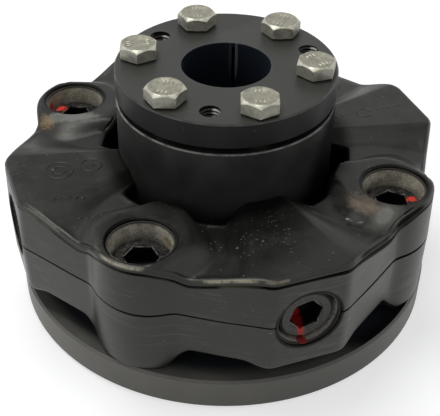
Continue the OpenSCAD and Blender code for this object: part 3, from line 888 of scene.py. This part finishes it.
def bolt_profile(angle):
    """A hexagon bolt's half section at an angle: shank, washer face, side, turned crown and dished top."""
    half_af, top, tip = CLAMP_HEAD_AF / 2, CLAMP_HEAD_H, -CLAMP_BOLT_L
    washer_r, washer_t, soft = half_af - 0.65, 0.4, 0.12
    side, crown = half_af / cosd((angle + 30) % 60 - 30), half_af - 0.5
    brow = top - (side - crown) * math.tan(math.radians(36))
    shank = [(0, tip), (CLAMP_BOLT_R - 0.8, tip), (CLAMP_BOLT_R, tip + 0.8), (CLAMP_BOLT_R, 0)]
    washer = [(washer_r, 0), (washer_r, washer_t)]
    flank = [(side - soft, washer_t), (side, washer_t + soft), (side, brow - 0.1), (side - soft, brow + 0.02)]
    rim = [(crown + 0.15, top - 0.1), (crown - 0.15, top), (crown - 0.7, top - 0.04)]
    return shank + washer + flank + rim + [(crown - 1.1, top - 0.2), (0, top - BOLT_DISH)]


def clamp_bolt(index, material, lit_mark_material):
    """A hexagon bolt whose dished top carries two rows of plain raised dashes."""
    around, turn = 60 * (index - 0.5), BOLT_TURNS[index - 1]
    place = (CLAMP_R * cosd(around), CLAMP_R * sind(around), DISC_TOP)

    def moved(points, spin):
        return [tuple(a + b for a, b in zip(point, place)) for point in placed(points, spin, (0, 0, 0))]

    verts, faces = revolve(bolt_profile, 120)
    bolt = add_piece(f"hex_bolt_{index}", moved(verts, turn + 30), faces, "bolt_steel", material, 24)
    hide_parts(f"clamp_bolt_{index}")
    level = CLAMP_HEAD_H - BOLT_DISH
    marks = [(side * 3.2, dash * 1.3, 0, level) for side in (-1, 1) for dash in (-1, 0, 1)]
    verts, faces = dashes(marks, 0.95, 0.36, 0.22)
    spin = turn + BOLT_MARK_TURNS[index - 1]
    add_piece(f"bolt_marks_{index}", moved(verts, spin), faces, "bolt_steel", lit_mark_material)


def dashes(places, length, width, rise):
    """Plain raised dashes at (x, y, turn, z), given by half their length and width and their rise."""
    count = 16
    verts, faces = [], []
    for x, y, turn, level in places:
        first = len(verts)
        for part, z in ((1.0, level - 0.3), (0.92, level + rise - 0.08), (0.6, level + rise)):
            for k in range(count):
                a, b = length * part * cosd(360 * k / count), width * part * sind(360 * k / count)
                verts.append((x + a * cosd(turn) - b * sind(turn), y + a * sind(turn) + b * cosd(turn), z))
        for row in range(2):
            faces += band(first + count * row, first + count * (row + 1), count)
        faces.append(tuple(first + 2 * count + k for k in range(count)))
        faces.append(tuple(first + count - 1 - k for k in range(count)))
    return verts, faces


def mould_ring(index, x, y, radius, material):
    """A plain round mould mark: a low bead on a pad's level top."""
    around, across = 48, 8
    verts, faces = [], []
    for k in range(around):
        a = 360 * k / around
        for j in range(across):
            b = 360 * j / across
            r = radius + 0.42 * cosd(b)
            verts.append((x + r * cosd(a), y + r * sind(a), RING_TOP - 0.22 + 0.4 * sind(b)))
    for k in range(around):
        faces += band(across * k, across * ((k + 1) % around), across)
    add_piece(f"mould_mark_{index}", verts, faces, "ring_rubber", material)


def mould_dashes(material):
    """Rows of plain dashes on the right, front and left pads."""
    rows = [(x, 0.0, 84) for x in DASH_ROW] + [(-1.3, -x, -6) for x in DASH_ROW]
    rows += [(-48.0, -0.4, 20), (-70.5, 6.2, 75)]
    rows += [(-64.5 + 2.4 * k, -14.0 - 0.25 * k, 13) for k in range(5)]
    rows += [(-57.9 + 2.3 * k, -22.6 - 0.45 * k, 22) for k in range(4)]
    places = [(x, y, turn, ring_top(x, y)) for x, y, turn in rows]
    add_piece("mould_dashes", *dashes(places, 0.95, 0.4, 0.14), "ring_rubber", material)


# Stage: floor, light and camera

def floor():
    """A plain pale floor that keeps the object's shadow."""
    g = Finish("floor")
    tone = g.steps(g.noise(6, 2), (0.3, (0.48, 0.48, 0.48)), (0.7, (0.5, 0.5, 0.5)))
    g.set(Emission_Color=(1.0, 1.0, 1.0), Emission_Strength=g.times(g.seen(), 0.62))
    material = g.set(Base_Color=tone, Roughness=0.9, Specular_IOR_Level=0.0)
    size, low = 4.0, -0.0003
    corners = [(x * size, y * size, low) for x, y in ((-1, -1), (1, -1), (1, 1), (-1, 1))]
    mesh = bpy.data.meshes.new("floor")
    mesh.from_pydata(corners, [], [(0, 1, 2, 3)])
    mesh.materials.append(material)
    floor = bpy.data.objects.new("floor", mesh)
    bpy.context.scene.collection.objects.link(floor)


def world():
    """Soft light from all sides, and white where the background is seen."""
    studio = bpy.data.worlds.new("studio")
    bpy.context.scene.world = studio
    g = Graph(studio)
    g.tree.nodes.clear()
    soft = g.node("Background", {0: (0.95, 0.97, 1), 1: 0.3}).outputs[0]
    white = g.node("Background", {0: (1, 1, 1), 1: 1.0}).outputs[0]
    blend = g.node("MixShader", {0: g.seen(), 1: soft, 2: white}).outputs[0]
    g.node("OutputWorld", {0: blend})


def lights():
    """Soft lamps above and at both sides: name, place, size, power."""
    aim = Vector((0, 0, 0.05))
    for name, place, size, power in (
        ("top_light", (-0.13, 0.2, 0.85), 0.4, 4.5),
        ("left_light", (-0.9, -0.1, 0.3), 0.6, 1.35),
        ("right_light", (0.9, -0.1, 0.3), 0.6, 0.7),
    ):
        lamp = bpy.data.lights.new(name, "AREA")
        lamp.size = size
        lamp.energy = power
        obj = bpy.data.objects.new(name, lamp)
        obj.location = place
        obj.rotation_euler = (aim - Vector(place)).to_track_quat("-Z", "Y").to_euler()
        bpy.context.scene.collection.objects.link(obj)


def camera():
    """The camera at its place, aimed at the target and rolled a little."""
    place = Vector(CAMERA_PLACE)
    forward = (Vector(CAMERA_TARGET) - place).normalized()
    right = forward.cross(Vector((0, 0, 1))).normalized()
    up = right.cross(forward)
    c, s = cosd(CAMERA_ROLL), sind(CAMERA_ROLL)
    facing = Matrix((right * c + up * s, up * c - right * s, -forward)).transposed()
    data = bpy.data.cameras.new("camera")
    data.sensor_fit = "HORIZONTAL"
    data.sensor_width = SENSOR_WIDTH
    data.lens = CAMERA_LENS
    data.clip_start = 0.01
    obj = bpy.data.objects.new("camera", data)
    obj.matrix_world = Matrix.Translation(place) @ facing.to_4x4()
    bpy.context.scene.collection.objects.link(obj)
    bpy.context.scene.camera = obj


bpy.context.scene.view_settings.view_transform = "Standard"
camera()
floor()
world()
lights()
# The bolts' dashes are a paler copy of the zinc, as a painted highlight
rubber_finish, zinc_finish, lit_mark_finish = rubber(), zinc(), zinc("zinc_marks", 1.7)
rubber_ring(rubber_finish)
paint_steel()
paint_screws()
for i in range(1, 4):
    jack_thread(i)
for i in range(1, 7):
    clamp_bolt(i, zinc_finish, lit_mark_finish)
for i, (x, y, radius) in enumerate(MOULD_RINGS, 1):
    mould_ring(i, x, y, radius, rubber_finish)
mould_dashes(rubber_finish)
